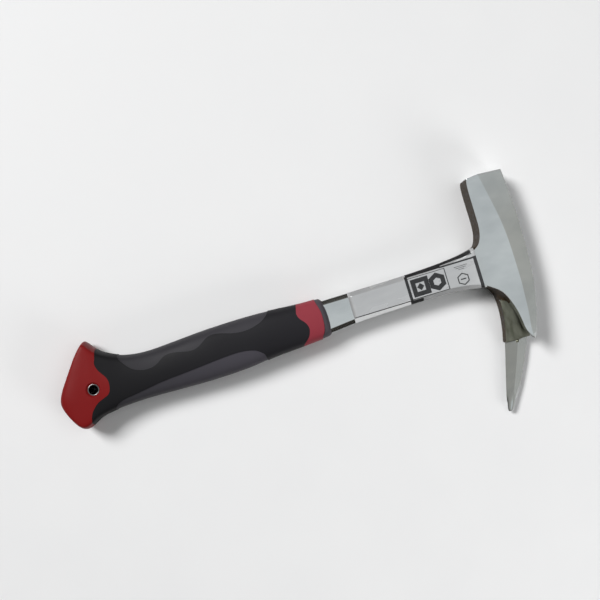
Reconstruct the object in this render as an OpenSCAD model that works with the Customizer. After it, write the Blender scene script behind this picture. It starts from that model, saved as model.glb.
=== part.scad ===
// One-piece steel hammer with a square striking face, a long point and a short side claw,
// with a three-colour moulded grip. It lies on its side.
//
// Frame: the origin is where the handle's centreline crosses the head's centreline, on the
// flat cheek that the hammer lies on. +X runs from the handle towards the head's outer side,
// +Y runs up to the striking face, and +Z runs through the head's thickness.

/* [Head] */
// Thickness of the head, cheek to cheek
head_t = 25; // [21:0.5:30]
// Width of the striking face, across the handle's plane
face_w = 26; // [22:0.5:30]
// Height of the striking face above the handle's centreline
face_h = 61.6; // [54:0.2:72]
// How far the point reaches below the handle's centreline
point_reach = 101.5; // [90:0.5:116]
// Width of the point just before its blunt end
point_tip = 5.6; // [3:0.1:7]
// How far the striking face is crowned in the middle
face_crown = 1.2; // [0.5:0.1:2]
// How far the outer bevels fall from the cheeks
bevel_drop = 5; // [3:0.25:8]

/* [Claw] */
// How far the short claw reaches below the handle's centreline
claw_reach = 56; // [50:0.5:66]
// Depth of the notch's root below the handle's centreline
notch_root = 26; // [22:0.5:32]
// Width of the notch at its mouth
notch_w = 8; // [6:0.2:10]
// Thickness of the claw at its tip
claw_t = 6.5; // [4.5:0.1:8]

/* [Shank and tang] */
// Thickness of the shank
shank_t = 12; // [9:0.5:16]
// Width of the bevels along the shank's edges
shank_bevel = 3; // [1.5:0.1:3.8]
// Thickness of the tang inside the grip
tang_t = 8; // [6:0.5:10]
// Radius of the keying holes in the tang
key_hole_r = 3; // [2:0.25:4]

/* [Grip] */
// Length of the grip, from the collar to the butt
grip_len = 190.6; // [165:0.2:220]
// Distance from the head's centreline to the grip's front collar
collar_x = 127; // [115:1:140]
// Thickness of the grip where it is fullest
grip_t = 25; // [20:0.5:25]
// Thickness of the soft overmould
skin_t = 2.2; // [1.4:0.1:3]
// How far the soft overmould stands proud of the hard core
relief = 0.4; // [0.2:0.1:0.8]

/* [Hanging hole] */
// Inner radius of the tube that lines the hanging hole
hang_r = 3.2; // [2.4:0.1:4]
// Wall of the tube
tube_wall = 0.8; // [0.5:0.1:1.2]
// How far each end of the tube is sunk below the cap's face
tube_sink = 0.5; // [0.2:0.1:1]
// Clearance of the tube in the tang's eye
tube_gap = 0.1; // [0.05:0.05:0.3]
// Steel round the eye that the tube goes through
eye_wall = 4.4; // [3:0.1:6]

/* [Label] */
// Length of the printed label on the shank
label_len = 90; // [50:1:100]
// Thickness of the label's film
label_t = 0.2; // [0.1:0.05:0.4]

/* [Hidden] */
big = 200;
mid_z = head_t / 2;
ring_n = 20;
steps = 2;
fine = 60;

// ---- helpers ----

// One Catmull-Rom value between b and c, for t from 0 to 1. Works on numbers and on rows.
function between(a, b, c, d, t) =
    0.5 * (2 * b + (c - a) * t + (2 * a - 5 * b + 4 * c - d) * t * t
           + (3 * b - a - 3 * c + d) * t * t * t);

// The rows of a table joined by a smooth curve through them, n steps from row to row.
function smooth(rows, n) = let (last = len(rows) - 1) [
    for (i = [0 : last - 1], k = [0 : n - 1])
        between(rows[max(i - 1, 0)], rows[i], rows[i + 1], rows[min(i + 2, last)], k / n),
    rows[last]
];

// A signed power, for sections between an ellipse and a rectangle.
function power(v, p) = sign(v) * pow(abs(v), p);

// A solid that joins flat rings of points, each with the same number of points.
module skin(rings) {
    m = len(rings[0]);
    last = len(rings) - 1;
    polyhedron(
        points = [for (r = rings, p = r) p],
        faces = concat(
            [[for (j = [0 : m - 1]) j]],
            [for (i = [0 : last - 1], j = [0 : m - 1])
                let (k = (j + 1) % m, a = i * m, b = a + m)
                for (f = [[a + j, b + k, a + k], [a + j, b + j, b + k]]) f],
            [[for (j = [m - 1 : -1 : 0]) last * m + j]]
        )
    );
}

// The convex solid round two rings of points.
module slab(a, b) {
    hull() skin([a, b]);
}

// A plate of the given outline, through the whole thickness of the hammer.
module through(outline, from = -big, to = big) {
    translate([0, 0, from]) linear_extrude(to - from) polygon(outline);
}

// An outline drawn in Y and Z, extruded along X.
module across(outline, from, to) {
    translate([from, 0, 0]) rotate([90, 0, 90]) linear_extrude(to - from) polygon(outline);
}

// ---- head ----

inner_x = -face_w / 2;
outer_x = face_w / 2;
end_y = -claw_reach - 2;
step_y = -claw_reach + 1.5;
mouth_y = -claw_reach - 8;
point_t = head_t - claw_t - notch_w;
notch_mid = point_t + notch_w / 2;
notch_root_w = 0.8;

// A height above the handle's centreline, and one below it, as shares of the head's reach.
function up(u) = face_h * u;
function down(u) = -claw_reach * u;

// Rows of [y, x of the outer edge, x of the crease between cheek and outer bevel, share of
// bevel_drop], down the head from past the striking face to past the claw.
outer_rows = [
    [up(1.13), outer_x - 0.2, -5, 1],
    [up(0.78), outer_x + 1.4, -1.4, 1],
    [up(0.55), outer_x + 2.1, 1.2, 1],
    [up(0.29), outer_x + 2.2, 3.2, 1],
    [0, outer_x + 1.9, 3.8, 1],
    [down(0.27), outer_x + 0.7, 3.6, 1],
    [down(0.54), outer_x - 2.2, 2.8, 0.9],
    [down(0.79), outer_x - 6, 1, 0.65],
    [down(1.036), outer_x - 13.6, -5.6, 0.35],
    [down(1.29), outer_x - 23, -14, 0.2]
];
outer_curve = smooth(outer_rows, 3);
inner_curve = smooth([
    [inner_x - 3.1, down(1)], [inner_x - 1, down(0.86)], [inner_x + 0.4, down(0.71)],
    [inner_x + 1.2, down(0.57)], [inner_x + 1.1, down(0.45)], [inner_x, down(0.29)]
], steps);

// Shares of the way across the striking face, from 0 to 1.
crown_steps = [for (i = [0 : 8]) i / 8];

// The head's outline on the cheek. Its top edge is the crown of the striking face.
head_outline = concat(
    [for (r = outer_curve) if (r[0] < face_h - 4 && r[0] > end_y) [r[1], r[0]]],
    [[outer_x - 14, end_y], [inner_x - 4, end_y]],
    inner_curve,
    [for (u = crown_steps)
        [inner_x + (face_w + 0.2) * u, face_h - face_crown * pow(2 * u - 1, 2)]]
);

// The same crown across the cheeks, and the step where the far half stops above the point.
head_side = concat(
    [[end_y, head_t], [end_y, notch_mid], [step_y, notch_mid], [step_y, 0]],
    [for (u = crown_steps) [face_h + face_crown * (0.4 - pow(2 * u - 1, 2)), head_t * u]]
);

// What the bevel on the near cheek takes away, along the head's outer side.
module bevel_wedge() {
    reach = 4;
    skin([for (r = outer_curve)
        let (run = r[1] - r[2], fall = bevel_drop * r[3] / run, up = head_t + 5)
        [
            [r[2] - reach, r[0], head_t + reach * fall],
            [r[1] + reach, r[0], head_t - (run + reach) * fall],
            [r[1] + reach, r[0], up],
            [r[2] - reach, r[0], up]
        ]]);
}

module both_sides() {
    children();
    translate([0, 0, head_t]) mirror([0, 0, 1]) children();
}

module head_block() {
    difference() {
        intersection() {
            through(head_outline, 0, head_t);
            across(head_side, -big, big);
        }
        both_sides() bevel_wedge();
    }
}

// ---- point and claw ----

// The point is a four-sided pyramid with a ridge on each cheek side. Its first sections are
// nearly square, where the forged bar runs out into the ground point.
point_w = 16.8;
point_base = [inner_x + 6.05, -claw_reach + 2.2];
point_end = [inner_x - 12.4, -point_reach];
point_square = 14;
point_diamond = 1.06;
point_flat = 0.7;
point_lift = 0.1;
shoulder = 0.09;

// Rows of [share of the point's length, how much the section is drawn in there].
point_rows = [
    [0, 1], [shoulder / 2, 1], [shoulder, 1], [0.3, 1], [0.6, 1], [0.94, 1],
    [0.98, 0.85], [1, 0.55]
];

function point_ring(r) =
    let (
        s = r[0],
        w = (point_w + (point_tip - point_w) * s) / 2 * r[1],
        t = (point_t + (point_tip * point_flat - point_t) * s) / 2 * r[1],
        n = point_diamond + (point_square - point_diamond) * pow(max(0, 1 - s / shoulder), 3),
        c = point_base + (point_end - point_base) * s,
        z = point_t / 2 + point_lift
    )
    [for (u = [0 : 45 : 315])
        [c[0] + w * power(cos(u), 2 / n), c[1], z + t * power(sin(u), 2 / n)]];

module point() {
    skin([for (r = point_rows) point_ring(r)]);
}

// A height along the notch, from 0 at its root to 1 at the claw's tip.
function claw_y(u) = -notch_root - (claw_reach - notch_root) * u;

// The claw's inner edge, from the fillet under the shank to its slanted tip.
claw_edge = [
    [inner_x - 1.5, -notch_root + 10.4], [inner_x + 2.5, -notch_root + 7.6],
    [inner_x + 5, -notch_root + 1.8], [inner_x + 7.4, claw_y(0.11)],
    [inner_x + 9.2, claw_y(0.37)], [inner_x + 9.9, claw_y(0.6)],
    [inner_x + 10, claw_y(0.77)], [inner_x + 14.9, claw_y(1)]
];

// What is cut from the head to leave the short claw standing over the point.
module claw_relief() {
    intersection() {
        through(concat(
            smooth(claw_edge, steps),
            [[outer_x + 7, mouth_y], [-big, mouth_y], [-big, claw_edge[0][1]]]
        ));
        across([
            [-notch_root + 10.1, head_t + 1], [-notch_root + 8.2, head_t - 3],
            [-notch_root + 5, notch_mid + 3.3], [-notch_root + 1, notch_mid + 0.7],
            [-notch_root - 2, notch_mid], [mouth_y, notch_mid], [mouth_y, head_t + 1]
        ], -2 * face_w, 2 * face_w);
    }
}

// The V-shaped notch between the claw and the point.
module notch() {
    rate = (notch_w - notch_root_w) / (claw_reach - notch_root);
    mouth_w = notch_root_w + rate * (-notch_root - mouth_y);
    across([
        [-notch_root, notch_mid - notch_root_w / 2], [-notch_root, notch_mid + notch_root_w / 2],
        [mouth_y, notch_mid + mouth_w / 2], [mouth_y, notch_mid - mouth_w / 2]
    ], -big, big);
}

// ---- shank and tang ----

// Rows of [x, top y, bottom y, share of the way from shank_t to head_t, share of shank_bevel].
shank_rows = [
    [-collar_x - 1, 10, -13, 0, 1],
    [-collar_x * 0.88, 10, -11.2, 0, 1],
    [-collar_x * 0.77, 10, -10.2, 0, 1],
    [-collar_x * 0.61, 10, -10, 0, 1],
    [-56, 10.3, -9.8, 0.04, 1],
    [-44, 10.9, -9.9, 0.15, 1],
    [-32, 12.2, -10.9, 0.37, 0.95],
    [-24, 13.6, -12.4, 0.61, 0.8],
    [inner_x - 6, 15.8, -13.6, 0.8, 0.6],
    [inner_x - 2.4, 19.4, -15.8, 0.92, 0.4],
    [inner_x + 0.4, 25, -19, 0.97, 0.33],
    [inner_x + 7, 26, -20, 0.97, 0.33]
];

// The shank's section at one row: a flat bar with a bevel on each long edge. grow adds to it
// all round, and corner is how much the bevel grows with it.
function shank_ring(r, grow = 0) =
    let (
        x = r[0], a = r[1] + grow, b = r[2] - grow, corner = 2 - sqrt(2),
        h = (shank_t + (head_t - shank_t) * r[3]) / 2 + grow, c = shank_bevel * r[4] + grow * corner
    )
    [
        [x, a, mid_z - h + c], [x, a, mid_z + h - c], [x, a - c, mid_z + h],
        [x, b + c, mid_z + h], [x, b, mid_z + h - c], [x, b, mid_z - h + c],
        [x, b + c, mid_z - h], [x, a - c, mid_z - h]
    ];

module shank(grow = 0) {
    skin([for (r = smooth(shank_rows, steps)) shank_ring(r, grow)]);
}

// A place on the grip: d is how far it lies behind the collar on a grip of nominal length.
nominal_len = 190.6;
function back(d) = -collar_x - d * grip_len / nominal_len;

// An outline on the grip, given as rows of [distance behind the collar, y].
function placed(rows) = [for (r = rows) [back(r[0]), r[1]]];

hole_at = [back(165.2), -2.2];
tube_r = hang_r + tube_wall;
dish_rim = 0.6;
eye_r = tube_r + eye_wall;
tang_outline = [
    [-collar_x + 8, 8], [-collar_x + 8, -10], [back(6), -11.4], [back(53), -11],
    [back(113), -8], hole_at + [6, -6], hole_at + [6, 6], [back(113), 6.5],
    [back(53), 8.4], [back(6), 9]
];
key_holes = [back(38), back(78), back(118)];

module tang_plate() {
    translate([0, 0, mid_z - tang_t / 2]) linear_extrude(tang_t) children();
}

module tang() {
    difference() {
        union() {
            tang_plate() polygon(tang_outline);
            tang_plate() translate(hole_at) circle(eye_r, $fn = fine);
        }
        for (x = key_holes)
            translate([x, -1.5, 0]) cylinder(h = head_t, r = key_hole_r, $fn = fine);
        translate([hole_at[0], hole_at[1], 0])
            cylinder(h = head_t, r = tube_r + tube_gap, $fn = fine);
    }
}

module forging() {
    color("silver") {
        difference() {
            union() {
                head_block();
                shank();
            }
            claw_relief();
            notch();
        }
        point();
        tang();
    }
}

// ---- grip ----

// Rows of [top, top y, bottom, bottom y, share of grip_t, squareness]. Each row is a section
// that runs from a point on the grip's top edge to one on its bottom edge. top and bottom are
// the distances of the two points behind the collar.
grip_rows = [
    [0, 11.2, 0, -13.6, 0.66, 2.6],
    [1.4, 12.3, 1.4, -14.6, 0.72, 2.6],
    [5, 12.6, 5, -15, 0.76, 2.6],
    [15, 12.8, 15, -15.7, 0.82, 2.6],
    [29, 13.8, 29, -16.6, 0.9, 2.6],
    [43, 14.8, 43, -17.5, 0.96, 2.6],
    [58, 15.2, 58, -19.2, 0.99, 2.6],
    [73, 15.1, 73, -20.1, 1, 2.6],
    [88, 14.6, 88, -20.3, 1, 2.6],
    [103, 13.7, 103, -20, 0.98, 2.6],
    [116, 12.9, 117, -19.6, 0.96, 2.7],
    [127, 12.7, 130, -19.2, 0.94, 2.8],
    [136, 13.7, 141, -19.3, 0.94, 3],
    [143.4, 15.5, 150.6, -19.8, 0.95, 3.2],
    [150.4, 18.6, 158.3, -20.5, 0.97, 3.6],
    [156, 22.2, 164.5, -21.6, 0.98, 4],
    [160.2, 26.5, 170, -23.6, 1, 4.4],
    [163.4, 30.6, 175.3, -26.4, 1, 4.6],
    [166.2, 30, 179.8, -26.6, 1, 4.6],
    [171.2, 24.7, 182.9, -24.1, 0.99, 4.4],
    [176.7, 17.4, 185.6, -19.8, 0.96, 4],
    [182.2, 9.8, 188, -14.7, 0.9, 3.6],
    [186.7, 3.5, 189.7, -10, 0.78, 3],
    [189.2, -0.9, 190.6, -6.8, 0.58, 2.6]
];

// The grip's section at one row, drawn in by inset all round.
function grip_ring(r, inset = 0) =
    let (
        top = [back(r[0]), r[1]], low = [back(r[2]), r[3]], c = (top + low) / 2,
        a = norm(top - low) / 2, dir = (top - low) / (2 * a),
        b = min(r[4], 1) * grip_t / 2, p = 2 / r[5],
        aa = max(a - inset, 0.2), bb = b - inset
    )
    [for (j = [0 : ring_n - 1])
        let (w = -360 * j / ring_n, u = aa * power(cos(w), p))
        [c[0] + dir[0] * u, c[1] + dir[1] * u, mid_z + bb * power(sin(w), p)]];

module grip_body(inset = 0) {
    rows = smooth(grip_rows, steps);
    for (i = [0 : len(rows) - 2]) slab(grip_ring(rows[i], inset), grip_ring(rows[i + 1], inset));
}

// Where the black overmould shows, seen from the side: its upper edge, then its lower one.
black_top = placed([
    [158, 25], [158.1, 20], [159.3, 16], [159.8, 13.5], [158.8, 10], [156.8, 6.6],
    [154.6, 3.2], [153.9, -1.2], [155.2, -6.4], [158, -8.8], [161.8, -10.2],
    [165.7, -12.2], [168.9, -15.2], [171, -18.4], [173, -24]
]);
inlay_low = placed([
    [156, -24], [155.4, -19.6], [152, -16.2], [147, -14.4], [139, -13.3], [129, -11.8],
    [119, -10.4], [105, -9.3], [90, -8.1], [78, -7.1], [67, -6.6], [59, -7.2], [53, -9],
    [49.6, -11.6], [47.8, -14.4], [47, -21]
]);
band_back = placed([
    [22.5, -20], [21.4, -15.6], [17.6, -12], [15.4, -8.8], [14.5, -5.6], [15, -2.6],
    [16.8, 0.4], [19, 3], [20.2, 6.4], [19.6, 9.6], [18, 17]
]);
inlay_top = placed([
    [37, 18], [38.8, 13.6], [42.6, 9.8], [47.5, 7.6], [53, 6.3], [59, 6.1], [65, 7],
    [70.5, 8.6], [76, 9.9], [81, 9.7], [85, 7.8], [89, 5.2], [94, 3.9], [100, 4.7],
    [107, 6.2], [113, 5.8], [117, 3.6], [121.5, 1.2], [127, 0.6], [132.5, 1.8],
    [137.5, 4.6], [141.4, 9.2], [144, 13.2], [146, 19]
]);
band_front = placed([
    [5.8, 17], [6, 11.6], [4.9, 7.4], [4, 3], [3.9, -1], [4.3, -6], [5.6, -10.6],
    [7.6, -14], [9, -20]
]);
beyond = 60;
black_outline = concat(
    smooth(black_top, steps), smooth(inlay_low, steps),
    smooth(band_back, steps), smooth(inlay_top, steps)
);
band_outline = concat(smooth(band_back, steps), smooth(band_front, steps));
cap_outline = concat(
    smooth(black_top, steps),
    [[back(210), -beyond], [back(210), beyond], [back(158), beyond]]
);
back_outline = concat(smooth(inlay_top, steps), [[back(153), beyond], [back(33), beyond]]);
belly_outline = concat(smooth(inlay_low, steps), [[back(33), -beyond], [back(163), -beyond]]);
collar_outline = concat(smooth(band_front, steps), [[0, -beyond], [0, beyond]]);
core_outline = [[back(177), -beyond], [back(172), beyond], [0, beyond], [0, -beyond]];

// The hard core under the moulded colours, with its plug inside the butt cap.
module core_body() {
    intersection() {
        grip_body(skin_t);
        through(core_outline);
    }
}

// The moulded layer over the core, drawn in by inset, from which each colour takes its share.
module moulded(outline, inset = 0) {
    intersection() {
        difference() {
            grip_body(inset);
            core_body();
        }
        through(outline);
    }
}

module tube_hole() {
    translate([hole_at[0], hole_at[1], -big / 2]) cylinder(h = big, r = tube_r, $fn = fine);
}

module grip_core() {
    color("dimgray") difference() {
        union() {
            core_body();
            // The collar in front of the band.
            intersection() {
                grip_body(relief);
                through(collar_outline);
            }
        }
        tang();
        shank();
        tube_hole();
    }
}

module back_inlay() {
    color([0.3, 0.3, 0.32]) moulded(back_outline, relief);
}

module belly_inlay() {
    color([0.32, 0.32, 0.34]) moulded(belly_outline, relief);
}

module black_grip() {
    color([0.09, 0.09, 0.1]) moulded(black_outline);
}

module front_band() {
    color([0.6, 0.12, 0.14]) moulded(band_outline);
}

module butt_cap() {
    color([0.6, 0.1, 0.1]) difference() {
        moulded(cap_outline);
        tube_hole();
        // Shallow dish round each mouth of the hanging hole.
        for (z = [mid_z - grip_t / 2, mid_z + grip_t / 2])
            translate([hole_at[0], hole_at[1], z])
                cylinder(h = 2 * tube_sink, r = tube_r + dish_rim, center = true, $fn = fine);
    }
}

module hang_tube() {
    tube_len = grip_t - 2 * tube_sink;
    color("gray") translate([hole_at[0], hole_at[1], mid_z - tube_len / 2]) difference() {
        cylinder(h = tube_len, r = tube_r, $fn = fine);
        translate([0, 0, -1]) cylinder(h = tube_len + 2, r = hang_r, $fn = fine);
    }
}

// ---- label ----

label_end = inner_x - 7.4;
label_low = 0.5;

// The film covers the shank's near face and both bevels, down to just above its middle.
module label() {
    color("whitesmoke") difference() {
        intersection() {
            shank(label_t);
            translate([label_end - label_len, -head_t, mid_z + label_low])
                cube([label_len, 2 * head_t, head_t]);
        }
        shank();
    }
}

forging();
grip_core();
back_inlay();
belly_inlay();
black_grip();
front_band();
butt_cap();
hang_tube();
label();
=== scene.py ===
# %% [markdown]
# # A steel hammer with a moulded grip
# This hammer is one steel forging with a soft grip moulded round its handle. It lies on its
# side on a pale table. The steel is drop-forged, ground and polished. The grip is a hard core
# with softer black, grey and red rubber round it.
#
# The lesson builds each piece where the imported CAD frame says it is. Lengths are written in
# millimetres and multiplied by `mm`, because Blender works in metres. +X runs from the handle
# to the head, +Y up to the striking face, and +Z up from the table.

# %% Load the frame
import math
import bmesh
import bpy
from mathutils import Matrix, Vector


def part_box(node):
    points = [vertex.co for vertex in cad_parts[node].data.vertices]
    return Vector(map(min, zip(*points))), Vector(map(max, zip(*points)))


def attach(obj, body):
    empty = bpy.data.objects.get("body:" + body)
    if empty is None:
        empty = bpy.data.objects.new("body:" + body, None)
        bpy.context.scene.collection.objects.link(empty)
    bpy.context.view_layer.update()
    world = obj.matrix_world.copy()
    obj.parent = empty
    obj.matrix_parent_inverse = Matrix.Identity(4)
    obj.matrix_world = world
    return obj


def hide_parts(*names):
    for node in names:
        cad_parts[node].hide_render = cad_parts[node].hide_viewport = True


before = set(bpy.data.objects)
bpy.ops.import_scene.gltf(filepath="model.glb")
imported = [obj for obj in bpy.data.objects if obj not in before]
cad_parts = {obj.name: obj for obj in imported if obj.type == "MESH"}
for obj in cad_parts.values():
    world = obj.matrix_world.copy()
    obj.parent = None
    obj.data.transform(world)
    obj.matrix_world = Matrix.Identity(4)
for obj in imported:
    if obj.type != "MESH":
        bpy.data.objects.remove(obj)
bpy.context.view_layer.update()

mm = 0.001


def corners_of(box):
    """The lowest and the highest corner of a box, in mm, to a tenth."""
    return [tuple(round(value / mm, 1) for value in corner) for corner in box]


# %% [markdown]
# ## Helpers for modelling by hand
# An operator acts on all that is selected, so every step starts by selecting exactly the
# corners it means. A corner is known by its number in the mesh, because an extrusion only adds
# numbers and never changes the old ones. Three small helpers are enough for box modelling:
# pick corners, put one corner in its place, and grow an end by extruding it. The other helpers
# start a piece, apply a modifier to it, set its shading, turn its faces outward and measure it.

# %% Pick, put and grow
def only(piece):
    """Make this the one selected object."""
    if bpy.context.object and bpy.context.object.mode == "EDIT":
        bpy.ops.object.mode_set(mode="OBJECT")
    bpy.ops.object.select_all(action="DESELECT")
    piece.select_set(True)
    bpy.context.view_layer.objects.active = piece


def editing():
    bm = bmesh.from_edit_mesh(bpy.context.object.data)
    bm.verts.ensure_lookup_table()
    return bm


def pick(corners):
    bpy.ops.mesh.select_all(action="DESELECT")
    bm = editing()
    for number in corners:
        bm.verts[number].select_set(True)
    bm.select_flush_mode()
    bmesh.update_edit_mesh(bpy.context.object.data)


def put(number, place):
    pick([number])
    step = Vector(place) * mm - editing().verts[number].co
    bpy.ops.transform.translate(value=step)


def grow(ring, places):
    """Extrude the face or faces inside a ring of named corners, and move the new corners."""
    pick(ring.values())
    bm = editing()
    old = {name: bm.verts[number].co.copy() for name, number in ring.items()}
    bpy.ops.mesh.extrude_region_move()
    bm = editing()
    bm.verts.index_update()
    fresh = [v for v in bm.verts if v.select]
    new = {name: min(fresh, key=lambda v: (v.co - co).length).index for name, co in old.items()}
    for name, place in places.items():
        put(new[name], place)
    return new


def start_ring(name, places):
    """A flat filled ring with one corner for each place, in edit mode."""
    any_radius = 10 * mm
    bpy.ops.object.select_all(action="DESELECT")
    bpy.ops.mesh.primitive_circle_add(vertices=len(places), radius=any_radius, fill_type="NGON")
    bpy.context.object.name = name
    bpy.ops.object.mode_set(mode="EDIT")
    bpy.ops.mesh.select_mode(type="VERT")
    ring = {label: number for number, label in enumerate(places)}
    for label, place in places.items():
        put(ring[label], place)
    return ring


def apply_modifier(piece, kind, **settings):
    only(piece)
    modifier = piece.modifiers.new(kind.title(), kind)
    for key, value in settings.items():
        setattr(modifier, key, value)
    bpy.ops.object.modifier_apply(modifier=modifier.name)


def smooth_shade(piece, degrees):
    only(piece)
    bpy.ops.object.shade_smooth_by_angle(angle=math.radians(degrees))


def outward(piece):
    only(piece)
    bpy.ops.object.mode_set(mode="EDIT")
    bpy.ops.mesh.select_all(action="SELECT")
    bpy.ops.mesh.normals_make_consistent(inside=False)
    bpy.ops.object.mode_set(mode="OBJECT")


def report(piece):
    faces = piece.data.polygons
    triangles = sum(len(face.vertices) - 2 for face in faces)
    print(f"{piece.name}: {len(faces)} faces, {triangles} triangles")


# %% [markdown]
# ## The forging
# On the real hammer the head, the shank and the tang inside the grip are one bar of steel,
# hammered hot between two dies and then ground. The dies leave flat cheeks, and the grinding
# adds two long bevels on the head's outer side. It could be made from simple solids joined
# with Booleans, but then the sweep from shank to head would show a seam, and polished steel
# shows every seam. So it is box modelled as one cage, which subdivision turns into smooth
# steel, with bevelled edges where the grinding wheel left a line.
#
# Each ring round the head has ten corners. `a` and `d` are the corners of the inner face, `e`
# and `j` are the creases on the two cheeks, and `f` and `i` are the low edges of the bevels.
# `b`, `c`, `g` and `h` lie between them, where the notch will be cut.

# %% The head, from the striking face down to the root of the notch
forging_low, forging_high = corners_of(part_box("forging"))
thick = forging_high[2] - forging_low[2]
middle = thick / 2
print("The head is", thick, "mm thick")


def head_ring(y, inner, outer, crease, drop, upper, lower, inner_y=None):
    side = y if inner_y is None else inner_y
    return {
        "a": (inner, side, thick), "b": (inner, side, upper), "c": (inner, side, lower),
        "d": (inner, side, 0), "e": (crease, y, 0), "f": (outer, y, drop),
        "g": (outer, y, lower), "h": (outer, y, upper), "i": (outer, y, thick - drop),
        "j": (crease, y, thick),
    }


def crowned(places, top=61.5, half_width=13, end_fall=1.1, side_fall=0.4):
    """Bend a ring to the crown of the striking face, which falls towards its four sides."""
    return {
        name: (x, top - end_fall * (x / half_width) ** 2
               - side_fall * ((z - middle) / middle) ** 2, z)
        for name, (x, y, z) in places.items()
    }


striking_face = crowned(head_ring(61, -11.4, 13.2, -3.8, 5, 16.5, 8.5))
relief_ring = head_ring(-20, -12.3, 12.9, 3.5, 4.8, 15.6, 11.2)
relief_ring.update({"a": (-9.6, -19.2, thick), "b": (-11.0, -20.0, 18.6)})
root_ring = head_ring(-26.5, -11.9, 11.5, 3.0, 4.6, 14.95, 14.05)
root_ring.update({"a": (-7.0, -26.0, thick), "b": (-8.0, -26.5, 14.95)})
head_stations = [
    ("neck", head_ring(58, -13, 13.6, -3.2, 5, 16.5, 8.5)),
    ("poll", head_ring(44, -13, 14.6, -0.6, 5, 16.5, 8.5)),
    ("low_poll", head_ring(33, -13, 15.1, 1.4, 5, 16.5, 8.5)),
    ("fillet", head_ring(24.5, -13.1, 15.2, 2.6, 5, 16.3, 8.7)),
    ("top", head_ring(13, -15.4, 15.2, 3.6, 5, 15.6, 9.4, inner_y=16.6)),
    ("bottom", head_ring(-12, -15.2, 14.1, 3.8, 5, 15.6, 9.4, inner_y=-15.2)),
    ("relief", relief_ring),
    ("root", root_ring),
]
rings = {"face": start_ring("forging_steel", striking_face)}
newest = rings["face"]
for name, places in head_stations:
    newest = rings[name] = grow(newest, places)
print("Head rings:", list(rings))

# %% [markdown]
# The notch splits the end of the head in two. The last face is cut with two straight cuts, so
# that its near part can grow into the short claw and its far part into the long point. The
# far part gets one more corner in the middle of two of its sides, because the point is ground
# to a four-sided pyramid whose ridges run down the middles of the bar's sides.

# %% Split the end face at the notch
root = rings["root"]
pick([root["b"], root["h"]])
bpy.ops.mesh.vert_connect()
pick([root["c"], root["g"]])
bpy.ops.mesh.vert_connect()


def split_edge(first, second):
    pick([first, second])
    bpy.ops.mesh.subdivide(number_cuts=1)
    bm = editing()
    bm.verts.index_update()
    return len(bm.verts) - 1


root["m"] = split_edge(root["c"], root["d"])
root["n"] = split_edge(root["c"], root["g"])
claw = {name: root[name] for name in "abhij"}
point = {name: root[name] for name in "cmdefgn"}
print("Corners at the notch:", root)

# %% [markdown]
# The claw is the short prong that pulls nails. Its ring has five corners, and it thins towards
# a blunt chisel tip.

# %% The short claw
def claw_ring(y, inner, outer, crease, wall, low, inner_y=None):
    side = y if inner_y is None else inner_y
    return {
        "a": (inner, side, thick), "b": (inner, side, wall), "h": (outer, y, wall),
        "i": (outer, y, low), "j": (crease, y, thick),
    }


claw_rings = [claw]
for places in [
    claw_ring(-33, -4.7, 10.2, 2.8, 15.8, 20.7),
    claw_ring(-41, -3.3, 8.0, 2.0, 16.7, 21.4),
    claw_ring(-48, -3.0, 5.6, 0.9, 17.5, 22.2),
    claw_ring(-53, -0.7, 3.6, 1.2, 18.1, 22.8, inner_y=-52),
    {"a": (1.3, -55.3, 24.0), "b": (1.3, -55.2, 18.9), "h": (2.3, -55.8, 18.9),
     "i": (2.3, -55.9, 22.6), "j": (1.8, -55.7, 23.9)},
]:
    claw_rings.append(grow(claw_rings[-1], places))

# %% [markdown]
# The long point starts as a square bar beside the notch. Where the wheel starts to grind it,
# the section changes at once to a diamond, so two rings lie close together there. A taper
# without that step would look soft.

# %% The long point
def bar_ring(y, inner, outer, crease, wall, drop):
    return {
        "c": (inner, y, wall), "m": (inner, y, wall / 2), "d": (inner, y, 0),
        "e": (crease, y, 0), "f": (outer, y, drop), "g": (outer, y, wall),
        "n": ((inner + outer) / 2, y, wall),
    }


def ground_ring(y, left, right, centre, half):
    """The pyramid's section. Its in-between corners lie on the facets, half way to each ridge."""
    x = (left + right) / 2
    quarter = (right - left) / 4
    return {
        "n": (x, y, centre + half), "m": (left, y, centre), "e": (x, y, centre - half),
        "f": (right, y, centre), "c": (x - quarter, y, centre + half / 2),
        "d": (x - quarter, y, centre - half / 2), "g": (x + quarter, y, centre + half / 2),
    }


point_rings = [point]
for places in [
    bar_ring(-33, -11.9, 10.2, 2.4, 13.3, 4.3),
    bar_ring(-41, -12.7, 8.0, 0.6, 12.3, 3.9),
    bar_ring(-48, -14.0, 5.4, -2.6, 11.4, 3.9),
    bar_ring(-54.3, -15.6, 1.5, -6.4, 10.75, 4.2),
    ground_ring(-55.0, -15.5, 0.6, 5.4, 5.3),
    ground_ring(-60, -16.8, -1.5, 5.4, 5.1),
    ground_ring(-70, -19.6, -5.8, 5.3, 4.55),
    ground_ring(-85, -23.6, -13.4, 4.9, 3.35),
    ground_ring(-96, -26.6, -19.3, 4.5, 2.4),
    ground_ring(-99.6, -27.2, -21.4, 4.4, 1.9),
    ground_ring(-101.2, -26.6, -23.2, 4.4, 1.1),
]:
    point_rings.append(grow(point_rings[-1], places))
print("Claw and point:", len(claw_rings), "and", len(point_rings), "rings")

# %% [markdown]
# The shank grows out of the head's inner face. It is a flat bar with a bevel along each of its
# four edges, and it thickens towards the head. Its last rings go on inside the grip as the
# tang.

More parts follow.
